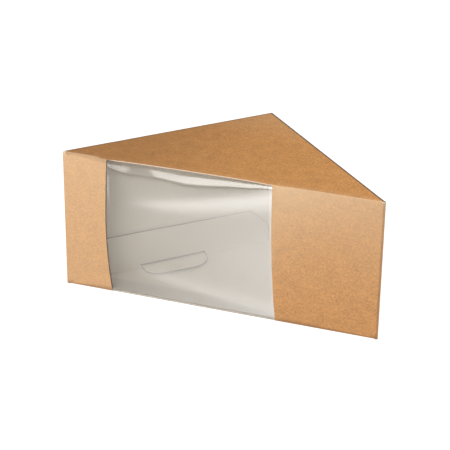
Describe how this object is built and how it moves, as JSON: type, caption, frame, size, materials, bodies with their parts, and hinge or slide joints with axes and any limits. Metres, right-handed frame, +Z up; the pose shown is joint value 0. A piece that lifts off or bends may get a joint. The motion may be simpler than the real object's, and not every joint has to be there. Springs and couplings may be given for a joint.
{
  "type": "windowed sandwich box",
  "caption": "Wedge-shaped kraft board sandwich box with a clear film window in its long front and a hinged tuck-in lid.",
  "frame": {"origin": "on the table, in the middle of the box's footprint", "axes": "+X to the right along the long windowed front, +Y from the front to the back corner, +Z up"},
  "size_m": [0.1742, 0.0884, 0.079],
  "materials": {
    "kraft_board": "uncoated brown kraft outside, white inside",
    "clear_film": "clear glossy film"
  },
  "bodies": {
    "carton": {"carton": "kraft_board", "window_film": "clear_film"},
    "lid": {"lid": "kraft_board"}
  },
  "joints": [
    {"name": "lid_hinge", "type": "hinge", "parent": "carton", "child": "lid", "pos_m": [-0.04401, -0.00019, 0.07874], "axis": [0.7071, 0.7071, 0], "range_deg": [0, 180]}
  ]
}
